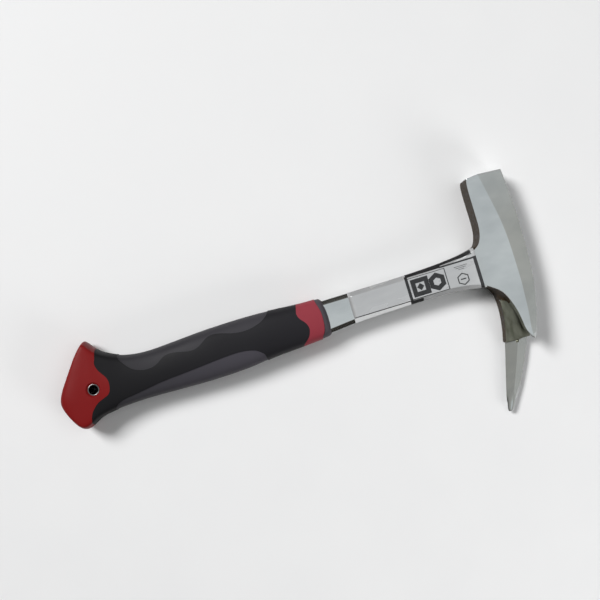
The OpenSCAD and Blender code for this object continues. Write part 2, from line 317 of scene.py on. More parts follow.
# %% The shank and the tang
def shank_ring(x, top, bottom, half, bevel, lean=0.8):
    """The bar's section. Its bevels are `lean` as long across the bar as they are down it."""
    near, far = middle + half, middle - half
    return {
        "ta": (x, top - bevel, near), "tb": (x, top, near - bevel * lean),
        "tc": (x, top, far + bevel * lean), "td": (x, top - bevel, far),
        "ba": (x, bottom + bevel, near), "bb": (x, bottom, near - bevel * lean),
        "bc": (x, bottom, far + bevel * lean), "bd": (x, bottom + bevel, far),
    }


shank_start = {"t" + k: rings["top"][k] for k in "abcd"}
shank_start.update({"b" + k: rings["bottom"][k] for k in "abcd"})
shank_rings = [shank_start]
for x, top, bottom, half, bevel in [
    (-20, 14.5, -13.3, 11.0, 1.7),
    (-27, 12.9, -11.8, 9.4, 2.6),
    (-36, 11.7, -10.6, 7.8, 3.0),
    (-48, 10.7, -10.0, 6.7, 3.0),
    (-64, 10.1, -9.9, 6.1, 3.0),
    (-84, 10.0, -10.1, 6.0, 3.0),
    (-104, 10.0, -10.6, 6.0, 3.0),
    (-118, 10.0, -11.7, 6.0, 3.0),
    (-134, 10.0, -13.4, 6.0, 3.0),
    (-139, 8.8, -11.2, 4.0, 1.5),
    (-180, 8.4, -11.0, 4.0, 1.5),
    (-240, 6.5, -8.0, 4.0, 1.5),
    (-283, 3.8, -8.2, 4.0, 1.5),
]:
    shank_rings.append(grow(shank_rings[-1], shank_ring(x, top, bottom, half, bevel)))
print("Shank rings:", len(shank_rings))

# %% [markdown]
# Subdivision alone would round everything off. The edges that the grinding wheel left are
# marked with a bevel weight, so a Bevel modifier lays two tight rows of faces along them first.
# The root of the notch is too narrow for a bevel, so its edges get a crease instead, and so do
# the ridges of the point. Weighted normals then keep the flat cheeks flat in the light.

# %% Mark the ground edges, bevel and subdivide
def chain_edges(chain):
    return list(zip(chain[:-1], chain[1:]))


def chain(ring_list, name):
    return chain_edges([ring[name] for ring in ring_list])


head_order = list(rings.values())
upper_rings = head_order[:6]
lower_rings = head_order[6:]
bar_rings = point_rings[:5]
step_rings = point_rings[4:6]
diamond_rings = point_rings[5:-2]
ground = []
for name in "ejfi":
    ground += chain(head_order, name)
for name in "ad":
    ground += chain(upper_rings, name)
    ground += chain(lower_rings, name)
face_ring = rings["face"]
ground += chain_edges([face_ring[k] for k in "abcdefghij"] + [face_ring["a"]])
for name in "abhij":
    ground += chain(claw_rings, name)
claw_tip = claw_rings[-1]
ground += chain_edges([claw_tip[k] for k in "abhij"] + [claw_tip["a"]])
for name in "cdgef":
    ground += chain(bar_rings, name)
for name in ("ta", "td", "ba", "bd"):
    ground += chain(shank_rings, name)
for name in ("tb", "tc", "bb", "bc"):
    ground += chain(shank_rings[1:], name)
sharp_edges = [(root["b"], root["h"]), (root["c"], root["n"]), (root["n"], root["g"]),
               (root["b"], root["c"]), (root["g"], root["h"])]
for name in "nmef":
    sharp_edges += chain(diamond_rings, name)
for ring in step_rings:
    sharp_edges += chain_edges([ring[name] for name in "ncmdefg"] + [ring["n"]])


def pick_edges(pairs):
    bpy.ops.mesh.select_all(action="DESELECT")
    bpy.ops.mesh.select_mode(type="EDGE")
    bm = editing()
    found = 0
    for first, second in pairs:
        edge = bm.edges.get((bm.verts[first], bm.verts[second]))
        if edge:
            edge.select_set(True)
            found += 1
    bmesh.update_edit_mesh(bpy.context.object.data)
    return found


print("Ground edges:", pick_edges(ground), "of", len(ground))
bpy.ops.transform.edge_bevelweight(value=1.0)
print("Sharp edges:", pick_edges(sharp_edges), "of", len(sharp_edges))
bpy.ops.transform.edge_crease(value=1.0)
bpy.ops.mesh.select_mode(type="VERT")
bpy.ops.object.mode_set(mode="OBJECT")
forging = bpy.context.object
outward(forging)
wheel_edge = 0.55 * mm
apply_modifier(forging, "BEVEL", limit_method="WEIGHT", width=wheel_edge, segments=2, profile=0.7)
apply_modifier(forging, "SUBSURF", levels=2, render_levels=2)
smooth_shade(forging, 40)
apply_modifier(forging, "WEIGHTED_NORMAL", keep_sharp=True)
report(forging)

# %% [markdown]
# ## The grip
# The real grip is moulded in several shots: a hard core round the tang, then black, grey and
# red rubber round the core. One smooth body runs through all of them, so the lesson models the
# body once and cuts it into zones. Modelling each zone by itself would be simpler, but the
# shapes would not meet, and light running along the grip would show every mistake.
#
# The body is a twelve-corner ring, extruded along the handle. Each row below gives where the
# section meets the top outline and the bottom outline, how thick it is, and how square. The
# rows are denser where the butt flares out.

# %% Grip sections
grip_start = corners_of(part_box("grip_core"))[1][0]
grip_half = middle
print("The grip starts at x =", grip_start)
grip_rows = [
    # top at, top y, low at, low y, share of the thickness, squareness
    (2.4, 12.0, 1.4, -14.2, 0.71, 2.6),
    (5, 12.6, 5, -15.0, 0.76, 2.6), (15, 12.8, 15, -15.7, 0.82, 2.6),
    (29, 13.8, 29, -16.6, 0.90, 2.6), (43, 14.8, 43, -17.5, 0.96, 2.6),
    (58, 15.2, 58, -19.2, 0.99, 2.6), (73, 15.1, 73, -20.1, 1.0, 2.6),
    (88, 14.6, 88, -20.3, 1.0, 2.6), (103, 13.7, 103, -20.0, 0.98, 2.6),
    (116, 12.9, 117, -19.6, 0.96, 2.7), (127, 12.7, 130, -19.2, 0.94, 2.8),
    (136, 13.7, 141, -19.3, 0.94, 3.0), (143.4, 15.5, 150.6, -19.8, 0.95, 3.2),
    (150.4, 18.6, 158.3, -20.5, 0.97, 3.6), (156, 22.2, 164.5, -21.6, 0.98, 4.0),
    (160.2, 26.5, 170, -23.6, 1.0, 4.4), (163.4, 30.6, 175.3, -26.4, 1.0, 4.6),
    (166.2, 30.0, 179.8, -26.6, 1.0, 4.6), (171.2, 24.7, 182.9, -24.1, 0.99, 4.4),
    (176.7, 17.4, 185.6, -19.8, 0.96, 4.0), (182.2, 9.8, 188.0, -14.7, 0.90, 3.6),
    (186.7, 3.5, 189.7, -10.0, 0.78, 3.0), (189.2, -0.9, 190.6, -6.8, 0.58, 2.6),
]
around_grip = 12


def signed_power(value, exponent):
    return math.copysign(abs(value) ** exponent, value)


def grip_section(top_at, top_y, low_at, low_y, share, square, size=1.0):
    top = Vector((grip_start - top_at, top_y, middle))
    low = Vector((grip_start - low_at, low_y, middle))
    centre, reach = (top + low) / 2, (top - low) / 2
    section = []
    for k in range(around_grip):
        turn = 2 * math.pi * k / around_grip
        along = signed_power(math.cos(turn), 2 / square) * size
        across = signed_power(math.sin(turn), 2 / square) * size * share * grip_half
        section.append(centre + reach * along + Vector((0, 0, across)))
    return section


def cage_for(targets, rounds=6):
    """Corners whose subdivided surface passes through the targets.

    Subdivision moves each corner a sixth of the way to each of its two neighbours along a
    line, so the corners are pushed out again by what they would lose, a few times over.
    """
    cage = [[p.copy() for p in section] for section in targets]
    last = len(cage) - 1
    for _ in range(rounds):
        around = [[(r[k - 1] + 4 * r[k] + r[(k + 1) % around_grip]) / 6
                   for k in range(around_grip)] for r in cage]
        for i in range(1, last):
            for k in range(around_grip):
                limit = (around[i - 1][k] + 4 * around[i][k] + around[i + 1][k]) / 6
                cage[i][k] += targets[i][k] - limit
        for i in (0, last):
            for k in range(around_grip):
                cage[i][k] += targets[i][k] - around[i][k]
    return cage


sections = [grip_section(*row) for row in grip_rows]
print("Grip sections:", len(sections))

# %% [markdown]
# Extruding the first ring along the handle makes the cage. Three bodies come from this cage:
# the outer one, one that lies a little lower for the grey inlays, and the core under the skin.
# Pushing the faces inward along their normals makes the two smaller ones.

# %% Extrude the grip and derive the inner bodies
def named_corners(section):
    return {k: tuple(p) for k, p in enumerate(section)}


cage = cage_for(sections)
front = grip_section(-0.8, 9.6, -0.9, -12.4, 0.60, 2.6, size=0.8)
ring = start_ring("grip_body", named_corners(front))
front_edge = grip_section(1.0, 11.0, 0.3, -13.4, 0.65, 2.6)
for section in [front_edge] + cage:
    ring = grow(ring, named_corners(section))
butt = grip_section(190.0, -2.2, 190.8, -5.8, 0.30, 2.4)
grow(ring, named_corners(butt))
bpy.ops.object.mode_set(mode="OBJECT")
grip_body = bpy.context.object
outward(grip_body)


def inset_copy(piece, name, depth):
    only(piece)
    bpy.ops.object.duplicate()
    copy = bpy.context.object
    copy.name = name
    bpy.ops.object.mode_set(mode="EDIT")
    bpy.ops.mesh.select_all(action="SELECT")
    bpy.ops.transform.shrink_fatten(value=-depth)
    bpy.ops.object.mode_set(mode="OBJECT")
    return copy


inlay_depth = 0.4
skin_depth = 2.2
relief_body = inset_copy(grip_body, "relief_body", inlay_depth * mm)
core_body = inset_copy(grip_body, "core_body", skin_depth * mm)
for body in (grip_body, relief_body, core_body):
    apply_modifier(body, "SUBSURF", levels=3, render_levels=3)
    report(body)

# %% [markdown]
# The seams between the colours are flowing lines. Each zone's cutter is a flat face with one
# corner for each point of the seam, extruded through the grip and subdivided, with its two
# flat ends creased. A Boolean then keeps what lies inside the cutter.

# %% Seams and their cutters
black_top = [(158, 25), (158.1, 20), (159.3, 16), (159.8, 13.5), (158.8, 10), (156.8, 6.6),
             (154.6, 3.2), (153.9, -1.2), (155.2, -6.4), (158, -8.8), (161.8, -10.2),
             (165.7, -12.2), (168.9, -15.2), (171, -18.4), (173, -24)]
inlay_low = [(156, -24), (155.4, -19.6), (152, -16.2), (147, -14.4), (139, -13.3),
             (129, -11.8), (119, -10.4), (105, -9.3), (90, -8.1), (78, -7.1), (67, -6.6),
             (59, -7.2), (53, -9), (49.6, -11.6), (47.8, -14.4), (47, -21)]
band_back = [(22.5, -20), (21.4, -15.6), (17.6, -12), (15.4, -8.8), (14.5, -5.6),
             (15, -2.6), (16.8, 0.4), (19, 3), (20.2, 6.4), (19.6, 9.6), (18, 17)]
inlay_top = [(37, 18), (38.8, 13.6), (42.6, 9.8), (47.5, 7.6), (53, 6.3), (59, 6.1),
             (65, 7), (70.5, 8.6), (76, 9.9), (81, 9.7), (85, 7.8), (89, 5.2), (94, 3.9),
             (100, 4.7), (107, 6.2), (113, 5.8), (117, 3.6), (121.5, 1.2), (127, 0.6),
             (132.5, 1.8), (137.5, 4.6), (141.4, 9.2), (144, 13.2), (146, 19)]
band_front = [(5.8, 17), (6, 11.6), (4.9, 7.4), (4, 3), (3.9, -1), (4.3, -6),
              (5.6, -10.6), (7.6, -14), (9, -20)]


def carried_on(seam):
    """Run a seam straight on past the outline, so that two zones beside it agree all the way."""
    (x0, y0), (x1, y1) = seam[0], seam[1]
    (x8, y8), (x9, y9) = seam[-2], seam[-1]
    before = [(x0 + (x0 - x1) * n, y0 + (y0 - y1) * n) for n in (2, 1)]
    after = [(x9 + (x9 - x8) * n, y9 + (y9 - y8) * n) for n in (1, 2)]
    return before + seam + after


black_top, inlay_low, band_back, inlay_top, band_front = [
    carried_on(seam) for seam in (black_top, inlay_low, band_back, inlay_top, band_front)]


def seam_cutter(name, outline, low=-8.0, high=33.0):
    """A block from under the grip to above it, whose wall passes through the outline."""
    limit = [Vector((grip_start - at, y, low)) for at, y in outline]
    count = len(limit)
    flat = [p.copy() for p in limit]
    for _ in range(6):
        for k in range(count):
            smooth = (flat[k - 1] + 4 * flat[k] + flat[(k + 1) % count]) / 6
            flat[k] += limit[k] - smooth
    ring = start_ring(name, named_corners(flat))
    top = grow(ring, {k: (p.x, p.y, high) for k, p in enumerate(flat)})
    rims = []
    for level in (ring, top):
        order = [level[k] for k in range(count)]
        rims += chain_edges(order + [order[0]])
    pick_edges(rims)
    bpy.ops.transform.edge_crease(value=1.0)
    bpy.ops.mesh.select_mode(type="VERT")
    bpy.ops.object.mode_set(mode="OBJECT")
    made = bpy.context.object
    outward(made)
    apply_modifier(made, "SUBSURF", levels=2, render_levels=2)
    return made


cutters = {
    "black": seam_cutter("cut_black", black_top + inlay_low + band_back + inlay_top),
    "band": seam_cutter("cut_band", band_back + band_front),
    "cap": seam_cutter("cut_cap", black_top + [(205, -42), (215, 0), (205, 40)]),
    "upper": seam_cutter("cut_upper", inlay_top + [(120, 36), (90, 38), (60, 36)]),
    "lower": seam_cutter("cut_lower", inlay_low + [(75, -40), (105, -42), (135, -40)]),
    "collar": seam_cutter("cut_collar", band_front + [(-12, -34), (-16, 0), (-12, 34)]),
}
print("Cutters:", list(cutters))

# %% [markdown]
# Each zone is what its cutter shares with the body, less the core. The collar is the one part
# of the core that shows, so it joins the core instead, and the core is hollow where the tang is.

# %% Cut the zones
def boolean(piece, operation, other, crosses_itself=False):
    only(piece)
    modifier = piece.modifiers.new("Cut", "BOOLEAN")
    modifier.operation = operation
    modifier.object = other
    modifier.solver = "EXACT"
    modifier.use_self = crosses_itself
    bpy.ops.object.modifier_apply(modifier=modifier.name)


def copy_of(piece, name):
    only(piece)
    bpy.ops.object.duplicate()
    bpy.context.object.name = name
    return bpy.context.object


def zone(name, body, cut):
    piece = copy_of(body, name)
    boolean(piece, "INTERSECT", cut)
    boolean(piece, "DIFFERENCE", core_body)
    smooth_shade(piece, 35)
    report(piece)
    return piece


black_skin = zone("skin_black", grip_body, cutters["black"])
red_band = zone("band_red", grip_body, cutters["band"])
red_cap = zone("cap_red", grip_body, cutters["cap"])
upper_inlay = zone("inlay_upper", relief_body, cutters["upper"])
lower_inlay = zone("inlay_lower", relief_body, cutters["lower"])

collar = copy_of(relief_body, "core_grey")
boolean(collar, "INTERSECT", cutters["collar"])
boolean(collar, "UNION", core_body)
boolean(collar, "DIFFERENCE", forging)
smooth_shade(collar, 35)
report(collar)

# %% [markdown]
# ## The hanging hole
# A steel tube runs through the butt, so the hammer can hang on a nail. The rubber dips down
# round each end of the tube. One drill shaped like a spool, wide at both ends, makes the hole
# and both dishes in one cut, because separate cone and rod cuts leave open edges where they meet.

# %% Hole, dish and tube
tube_low, tube_high = corners_of(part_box("hang_tube"))
tube_outer = 4.0
tube_inner = 3.2
tube_half = 11.5
hole = Vector((tube_high[0] - tube_outer, (tube_low[1] + tube_high[1]) / 2, middle))
dish_radius = 6.4
dish_top = 26.0
dish_low = 23.9
bpy.ops.object.select_all(action="DESELECT")
bpy.ops.mesh.primitive_circle_add(vertices=48, radius=dish_radius * mm, fill_type="NGON",
                                  location=(hole.x * mm, hole.y * mm, dish_top * mm))
drill = bpy.context.object
bpy.ops.object.mode_set(mode="EDIT")
bpy.ops.mesh.select_all(action="SELECT")
for drop, ratio in [(dish_top - dish_low, tube_outer / dish_radius),
                    (2 * (dish_low - middle), 1.0),
                    (dish_top - dish_low, dish_radius / tube_outer)]:
    bpy.ops.mesh.extrude_region_move(TRANSFORM_OT_translate={"value": (0, 0, -drop * mm)})
    bpy.ops.transform.resize(value=(ratio, ratio, 1.0))
bpy.ops.object.mode_set(mode="OBJECT")
outward(drill)
for part in (red_cap, collar):
    boolean(part, "DIFFERENCE", drill)
smooth_shade(red_cap, 35)

bpy.ops.mesh.primitive_cylinder_add(vertices=64, radius=tube_outer * mm,
                                    depth=2 * tube_half * mm, location=hole * mm)
tube = bpy.context.object
tube.name = "tube_bright"
bore_length = 60
bpy.ops.mesh.primitive_cylinder_add(vertices=64, radius=tube_inner * mm,
                                    depth=bore_length * mm, location=hole * mm)
bore = bpy.context.object
boolean(tube, "DIFFERENCE", bore)
apply_modifier(tube, "BEVEL", limit_method="ANGLE", width=0.3 * mm, segments=2)
smooth_shade(tube, 40)
report(tube)

# %% [markdown]
# ## The label
# A thin printed film is stuck on the near side of the shank, over the face and both bevels.
# Cutting the film out of the finished steel surface and giving it a thickness makes it follow
# the steel exactly. The print is a second, slightly thicker piece of the same film, kept only
# where a shape is printed. The shapes are plain bars, hexagons, a square and a diamond, and
# they stand for nothing.

# %% Cut the film from the steel
label_low, label_high = corners_of(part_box("label"))
film_from, film_to = label_low[0], label_high[0]
film_low = label_low[2]
film_thick = 0.16
print_thick = 0.20
print("The film runs from", film_from, "to", film_to)


def film_shell(name, thickness):
    shell = copy_of(forging, name)
    bpy.ops.object.mode_set(mode="EDIT")
    cuts = [((film_from, 0, 0), (1, 0, 0)), ((film_to, 0, 0), (-1, 0, 0)),
            ((0, 0, film_low), (0, 0, 1))]
    for place, normal in cuts:
        bpy.ops.mesh.select_all(action="SELECT")
        bpy.ops.mesh.bisect(plane_co=Vector(place) * mm, plane_no=normal, clear_inner=True)
    bpy.ops.object.mode_set(mode="OBJECT")
    apply_modifier(shell, "SOLIDIFY", thickness=thickness * mm, offset=1.0)
    return shell


film = film_shell("film_clear", film_thick)
print_layer = film_shell("film_print", print_thick)
report(film)

# %% Print plain shapes on it
stamp_height = 18
stamp_depth = 16


def printed_bar(x0, x1, y0, y1, turn=0.0):
    """A bar or a square, standing upright through the film."""
    centre = Vector(((x0 + x1) / 2, (y0 + y1) / 2, stamp_height))
    bpy.ops.mesh.primitive_cube_add(size=1, location=centre * mm)
    bpy.context.object.scale = ((x1 - x0) * mm, (y1 - y0) * mm, stamp_depth * mm)
    bpy.context.object.rotation_euler.z = math.radians(turn)
    bpy.ops.object.transform_apply(location=True, rotation=True, scale=True)
    return bpy.context.object


def printed_outline(sides, x, y, outer, inner, turn=0.0):
    """A regular outline with this many sides."""
    made = []
    for radius in (outer, inner):
        bpy.ops.mesh.primitive_cylinder_add(vertices=sides, radius=radius * mm,
                                            depth=stamp_depth * mm,
                                            location=(x * mm, y * mm, stamp_height * mm),
                                            rotation=(0, 0, math.radians(turn)))
        made.append(bpy.context.object)
        bpy.ops.object.transform_apply(location=True, rotation=True)
    boolean(made[0], "DIFFERENCE", made[1])
    bpy.data.objects.remove(made[1])
    return made[0]


print_left = -70.5
print_mid = -43.0
print_right = -20.0
shapes = [
    printed_bar(print_left, print_left + 2.0, -14, 9),
    printed_bar(print_right - 2.6, print_right, -15, 9.2),
    printed_bar(print_left + 1.0, print_mid - 2, 8.2, 13),
    printed_bar(print_mid - 3, print_right - 3, 10.2, 15, turn=4),
    printed_bar(print_mid - 3, print_right - 1, 7.9, 9.0),
    printed_bar(print_left + 1.0, -61.5, -14, -7.9),
    printed_bar(film_from + 0.6, print_left, -8.0, -7.4),
    printed_bar(print_left + 1.0, print_mid, 6.9, 7.3),
    printed_bar(print_mid - 0.2, print_mid + 0.4, -7.5, 7.3),
    printed_bar(print_left + 1.0, print_mid, -7.6, -7.2),
    printed_outline(4, -61.2, -0.2, 8.6, 4.2, turn=45),
    printed_outline(6, -49.6, -0.2, 6.3, 2.8),
    printed_bar(-63.0, -59.4, -2.0, 1.6, turn=45),
    printed_outline(6, -32.4, -3.6, 4.3, 3.5),
    printed_bar(-34.2, -30.6, -4.0, -3.2),
    printed_bar(-36.5, -27.5, 5.3, 5.6),
    printed_bar(-35.5, -28.5, 4.2, 4.5),
    printed_bar(-34, -30, 3.1, 3.4),
]
only(shapes[0])
for shape in shapes:
    shape.select_set(True)
bpy.ops.object.join()
stencil = bpy.context.object
boolean(print_layer, "INTERSECT", stencil, crosses_itself=True)
smooth_shade(print_layer, 35)
report(print_layer)

# %% Clear the tools away
for spare in [grip_body, relief_body, core_body, drill, bore, stencil] + list(cutters.values()):
    bpy.data.objects.remove(spare)

# %% [markdown]
# ## Settle the pieces
# Each piece keeps its place in its mesh, rides on the frame's one body and stands for its CAD
# node. The film and its print are two pieces that both stand for the label.

declared = [
    (forging, "forging", "steel"), (black_skin, "black_grip", "grip_black"),
    (red_band, "front_band", "grip_red"), (red_cap, "butt_cap", "cap_red"),
    (upper_inlay, "back_inlay", "inlay_grey"), (lower_inlay, "belly_inlay", "inlay_grey"),
    (collar, "grip_core", "grip_grey"), (tube, "hang_tube", "tube_steel"),
    (film, "label", "label_film"), (print_layer, "label", "label_film"),
]
for piece, node, slot in declared:
    only(piece)
    bpy.ops.object.transform_apply(location=True, rotation=True, scale=True)
    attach(piece, "root")
    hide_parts(node)
print("Declared:", [piece.name for piece, node, slot in declared])

# %% [markdown]
# ## Materials
# All finishes are worked out from the object's own coordinates, so they stay put from every
# side. One builder serves them all: noise moves the colour and the roughness a little, and
# dents the surface by a few hundredths of a millimetre at most. Image textures could carry more
# detail, but they would need unwrapping and would show seams.

# %% One builder for every finish
# A Mix node has a set of sockets for each kind of value. These are the numbers of its colours.
first_colour, second_colour, mixed_colour = 6, 7, 2


class Finish:
    """A Principled material with its own coordinates and helpers for noise."""

    def __init__(self, name):
        self.material = bpy.data.materials.new(name)
        self.material.use_nodes = True
        self.tree = self.material.node_tree
        self.shader = self.tree.nodes["Principled BSDF"]
        self.place = self.node("ShaderNodeTexCoord").outputs["Object"]

    def node(self, kind, **settings):
        made = self.tree.nodes.new(kind)
        for key, value in settings.items():
            setattr(made, key, value)
        return made

    def link(self, source, target):
        self.tree.links.new(source, target)

    def noise(self, size, stretch=(1, 1, 1), detail=3.0):
        """Noise with grains of about this size in mm, longer where stretch is smaller."""
        scale = self.node("ShaderNodeVectorMath", operation="MULTIPLY")
        self.link(self.place, scale.inputs[0])
        scale.inputs[1].default_value = [part / (size * mm) for part in stretch]
        noise = self.node("ShaderNodeTexNoise")
        noise.inputs["Scale"].default_value = 1.0
        noise.inputs["Detail"].default_value = detail
        self.link(scale.outputs[0], noise.inputs["Vector"])
        return noise.outputs["Fac"]

    def spread(self, source, low, high, start=0.3, end=0.7):
        remap = self.node("ShaderNodeMapRange")
        self.link(source, remap.inputs["Value"])
        for key, value in (("From Min", start), ("From Max", end), ("To Min", low),
                           ("To Max", high)):
            remap.inputs[key].default_value = value
        return remap.outputs["Result"]

    def between(self, factor, first, second):
        mix = self.node("ShaderNodeMix", data_type="RGBA")
        self.link(factor, mix.inputs["Factor"])
        for number, value in ((first_colour, first), (second_colour, second)):
            socket = mix.inputs[number]
            if isinstance(value, tuple):
                socket.default_value = (*value, 1.0)
            else:
                self.link(value, socket)
        return mix.outputs[mixed_colour]

    def colour(self, value):
        self.link(value, self.shader.inputs["Base Color"])

    def roughness(self, value):
        self.link(value, self.shader.inputs["Roughness"])

    def bumps(self, *layers):
        """Each layer is a noise and a height in mm."""
        normal = None
        for source, height in layers:
            bump = self.node("ShaderNodeBump")
            bump.inputs["Distance"].default_value = height * mm
            self.link(source, bump.inputs["Height"])
            if normal:
                self.link(normal, bump.inputs["Normal"])
            normal = bump.outputs["Normal"]
        self.link(normal, self.shader.inputs["Normal"])

    def set(self, **values):
        for key, value in values.items():
            self.shader.inputs[key.replace("_", " ")].default_value = value


def paint(piece, finish):
    piece.data.materials.clear()
    piece.data.materials.append(finish.material)


# %% [markdown]
# The head is ground and polished, so its roughness is low and it shows the room. Very long,
# very fine scratches follow the length of the tool, and a few soft smears break the mirror.
# The walls that no grinding wheel reaches, on the head's inner side next to the shank, keep a
# brown skin from the forging. The same dark brown is painted as shade on the polished shoulders
# beside the shank, where it hides the glint of the main light, and in the throat under the claw.
# The notch walls are dull steel painted dark olive: painted shade in the recess.

# %% Steel
def steel(name, tint, other_tint, rough_low, rough_high):
    finish = Finish(name)
    smear = finish.noise(16, (0.5, 1, 1))
    scratches = finish.noise(0.35, (0.02, 1, 1), detail=2.0)
    finish.colour(finish.between(finish.spread(smear, 0, 1), tint, other_tint))
    finish.roughness(finish.spread(smear, rough_low, rough_high))
    finish.bumps((scratches, 0.0025), (finish.noise(9), 0.02))
    finish.set(Metallic=1.0)
    return finish


bright = steel("polished_steel", (0.61, 0.625, 0.62), (0.50, 0.52, 0.52), 0.10, 0.2)

# This dark brown serves both as the forging's skin and as painted shade.
skin_and_shade = Finish("forged_skin_and_painted_shade")
blotch = skin_and_shade.noise(2.6, detail=5.0)
skin_and_shade.colour(skin_and_shade.between(skin_and_shade.spread(blotch, 0, 1), (0.010, 0.008, 0.006), (0.055, 0.036, 0.02)))
skin_and_shade.roughness(skin_and_shade.spread(blotch, 0.32, 0.6))
skin_and_shade.bumps((blotch, 0.08), (skin_and_shade.noise(0.5), 0.02))
skin_and_shade.set(Specular_IOR_Level=0.05)

# Dull steel painted dark olive: painted shade in the notch, which is a recess.
wall = Finish("notch_steel_painted_shade")
cloud = wall.noise(4, (1, 0.4, 1), detail=4.0)
wall.colour(wall.between(wall.spread(cloud, 0, 1), (0.09, 0.09, 0.065), (0.2, 0.2, 0.16)))
wall.roughness(wall.spread(cloud, 0.28, 0.45))
wall.bumps((cloud, 0.03), (wall.noise(0.4), 0.01))
wall.set(Metallic=1.0)

# %% Paint the forging, face by face
paint(forging, bright)
forging.data.materials.append(skin_and_shade.material)
forging.data.materials.append(wall.material)
skin_and_shade_slot, notch_shade_slot = 1, 2
poll_faces = notch_faces = 0
for face in forging.data.polygons:
    x, y, z = face.center / mm
    normal = face.normal
    # Painted shade: the polished shoulders get the dark brown, which hides the glint of the main
    # light.
    shoulder_painted_shade = -25 < x < -13 and 9.5 < y < 17 and normal.z < 0.96
    inner_wall = -25 < x < 8 and 9.5 < y < 60 and normal.z < 0.9 and normal.x < 0.2
    # Painted shade: the throat under the claw gets the same dark brown.
    throat_painted_shade = -19 < x < -7 and -54 < y < -13 and normal.x + normal.y < -0.6 and z < 24
    # Painted shade: the notch walls get the dark olive finish.
    notch = x > -16 and -56 < y < -25 and 10 < z < 18.6 and abs(normal.z) > 0.5
    if shoulder_painted_shade or inner_wall:
        face.material_index = skin_and_shade_slot
        poll_faces += 1
    elif throat_painted_shade:
        face.material_index = skin_and_shade_slot
    elif notch:
        face.material_index = notch_shade_slot
        notch_faces += 1
print("Brown faces:", poll_faces, "and notch faces:", notch_faces)

# %% [markdown]
# The rubber is matt with a very fine grain from the mould. Its colour shifts a little, and the
# roughness varies where hands have polished it. Every rubber is also painted lighter from the
# butt towards the collar: a painted sheen for the light that grows towards the head.

# %% Rubber
def rubber(name, at_butt, at_collar, rough=0.55, grain=0.02):
    """Rubber painted lighter from the butt towards the collar: a painted sheen on its own colour.
    """
    finish = Finish(name)
    patch = finish.noise(22, (0.6, 1, 1))
    along = finish.node("ShaderNodeSeparateXYZ")
    finish.link(finish.place, along.inputs[0])
    # Painted sheen: along X the colour moves towards the lighter collar colour.
    painted_sheen = finish.spread(along.outputs["X"], 0.0, 0.85, start=-0.31, end=-0.15)
    blend = finish.node("ShaderNodeMath", operation="MULTIPLY_ADD")
    finish.link(patch, blend.inputs[0])
    blend.inputs[1].default_value = 0.3
    finish.link(painted_sheen, blend.inputs[2])
    finish.colour(finish.between(blend.outputs[0], at_butt, at_collar))
    finish.roughness(finish.spread(patch, rough - 0.06, rough + 0.08))
    finish.bumps((finish.noise(0.7, detail=2.0), grain), (finish.noise(5), 0.05))
    finish.set(Specular_IOR_Level=0.14)
    return finish


paint(black_skin, rubber("rubber_black", (0.0015, 0.0014, 0.0017), (0.0135, 0.013, 0.0155)))
# The lower inlay is the same grey as the upper one, painted lighter: painted light on the lower
# side, which faces the fill.
paint(upper_inlay, rubber("rubber_grey_upper", (0.016, 0.0155, 0.017), (0.043, 0.041, 0.048)))
paint(lower_inlay, rubber("rubber_grey_lower", (0.018, 0.018, 0.019), (0.064, 0.06, 0.073)))
paint(collar, rubber("core_grey", (0.055, 0.049, 0.056), (0.068, 0.060, 0.069), rough=0.5))
# The band is the same red as the cap, painted lighter and pinker: a painted sheen.
paint(red_band, rubber("rubber_red_band", (0.235, 0.030, 0.042), (0.265, 0.038, 0.052)))
paint(red_cap, rubber("rubber_red_cap", (0.165, 0.006, 0.006), (0.215, 0.011, 0.012), rough=0.45))

# Steel painted dark: painted shade for the tube sunk inside the hole.
tube_shaded_finish = Finish("tube_metal_painted_shade")
rub = tube_shaded_finish.noise(1.2, (1, 1, 0.2))
tube_shaded_finish.colour(tube_shaded_finish.between(rub, (0.08, 0.075, 0.075), (0.16, 0.15, 0.15)))
tube_shaded_finish.roughness(tube_shaded_finish.spread(rub, 0.22, 0.4))
tube_shaded_finish.bumps((rub, 0.01))
tube_shaded_finish.set(Metallic=1.0)
paint(tube, tube_shaded_finish)
print("Rubber finishes:", [m.name for m in bpy.data.materials if "rubber" in m.name])

# %% [markdown]
# The film is clear and glossy over bright steel, so it reads as silver, a little milkier than
# the bare metal. Towards the grip its lower bevel is painted white: painted light on the side
# that faces the fill. The ink is a dense black that is slightly thinner in places.

# %% Film and ink
film_finish = Finish("silver_film")
ripple = film_finish.noise(12, (0.4, 1, 1))
film_finish.colour(film_finish.between(film_finish.spread(ripple, 0, 1), (0.42, 0.425, 0.43),
                                       (0.48, 0.485, 0.49)))
film_finish.roughness(film_finish.spread(ripple, 0.2, 0.34))
film_finish.bumps((ripple, 0.012), (film_finish.noise(3), 0.004))
film_finish.set(Metallic=0.3, Coat_Weight=0.25, Coat_Roughness=0.12)
paint(film, film_finish)
# Painted light: this white stands for the fill light falling on the film's lower bevel.
lit_bevel = Finish("white_bevel_painted_light")
speck = lit_bevel.noise(2)
lit_bevel.colour(lit_bevel.between(speck, (0.74, 0.745, 0.75), (0.84, 0.845, 0.85)))
lit_bevel.roughness(lit_bevel.spread(speck, 0.25, 0.4))
lit_bevel.bumps((speck, 0.004))
film.data.materials.append(lit_bevel.material)
lit_bevel_slot = 1
lit_bevel_faces = 0
for face in film.data.polygons:
    if face.normal.y < -0.35 and face.center.x / mm < print_left:
        face.material_index = lit_bevel_slot
        lit_bevel_faces += 1
print("White faces on the film:", lit_bevel_faces)
ink = Finish("black_ink")
dab = ink.noise(1.5)
ink.colour(ink.between(ink.spread(dab, 0, 1), (0.006, 0.006, 0.007), (0.014, 0.014, 0.015)))
ink.roughness(ink.spread(dab, 0.3, 0.42))
ink.bumps((dab, 0.004))
paint(print_layer, ink)

